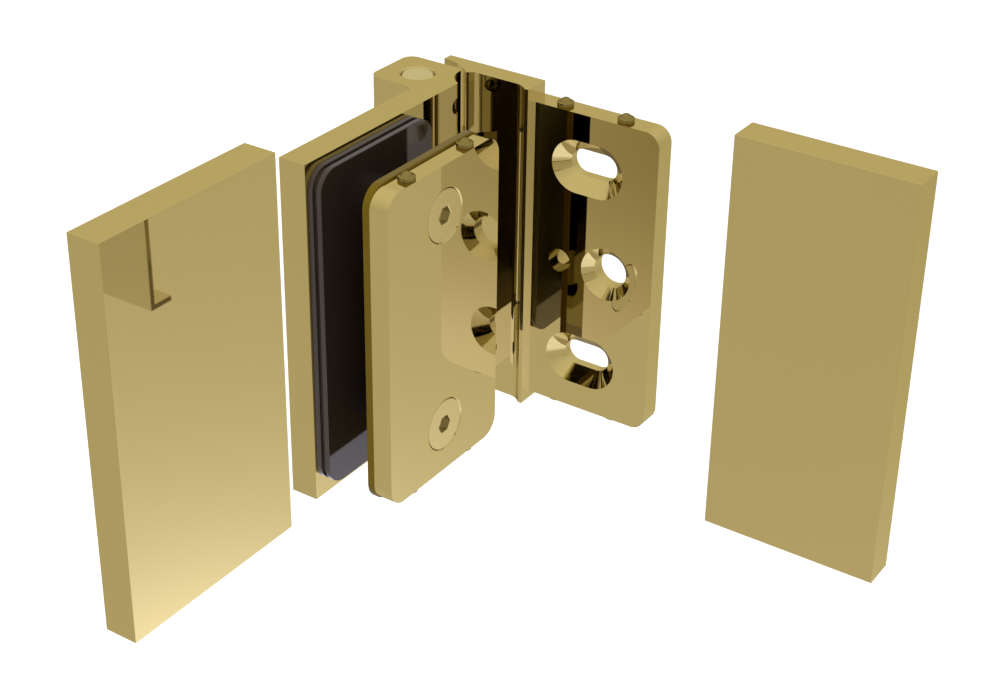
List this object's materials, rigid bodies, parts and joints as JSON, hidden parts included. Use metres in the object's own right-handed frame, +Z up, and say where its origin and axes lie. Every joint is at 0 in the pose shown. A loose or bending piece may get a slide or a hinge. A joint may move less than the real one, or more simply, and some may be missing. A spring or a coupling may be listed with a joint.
{
  "type": "shower door hinge",
  "caption": "Glass-to-wall shower door hinge with a clamp for the glass, a slotted wall plate and slip-on covers taken off.",
  "frame": {"origin": "on the wall, on the axis of the wall plate's middle fixing hole", "axes": "+X points out of the wall, +Y runs along the wall away from the hinge pin, +Z is up"},
  "size_m": [0.1597, 0.1626, 0.1223],
  "materials": {
    "polished_gold": "mirror polished gold-coloured plating",
    "pin_gold": "polished gold-coloured plating",
    "screw_gold": "fine-turned gold-coloured plating",
    "stud_gold": "satin gold-coloured plating",
    "grub_steel": "blackened steel",
    "gasket_rubber": "smooth moulded rubber",
    "clamp_gasket_vinyl": "smooth amber vinyl",
    "bearing_nylon": "moulded nylon",
    "sleeve_nylon": "dark moulded nylon"
  },
  "bodies": {
    "wall": {"wall_bracket": "polished_gold", "upper_pin_bush": "bearing_nylon", "lower_pin_bush": "bearing_nylon", "top_inner_wall_stud": "stud_gold", "top_outer_wall_stud": "stud_gold", "bottom_inner_wall_stud": "stud_gold", "bottom_outer_wall_stud": "stud_gold", "wall_cover": "polished_gold"},
    "door": {"door_leaf": "polished_gold", "hinge_pin": "pin_gold", "upper_thrust_washer": "bearing_nylon", "lower_thrust_washer": "bearing_nylon", "upper_pin_grub_screw": "grub_steel", "lower_pin_grub_screw": "grub_steel", "leaf_gasket": "gasket_rubber", "clamp_gasket": "clamp_gasket_vinyl", "clamp_plate": "polished_gold", "upper_clamp_screw": "screw_gold", "lower_clamp_screw": "screw_gold", "upper_glass_sleeve": "sleeve_nylon", "lower_glass_sleeve": "sleeve_nylon", "top_outer_door_stud": "stud_gold", "top_inner_door_stud": "stud_gold", "bottom_outer_door_stud": "stud_gold", "bottom_inner_door_stud": "stud_gold", "door_cover": "polished_gold"}
  },
  "joints": [
    {"name": "door_swing", "type": "hinge", "parent": "wall", "child": "door", "pos_m": [0.0147, -0.0514, 0], "axis": [0, 0, -1], "range_deg": [0, 90]}
  ]
}
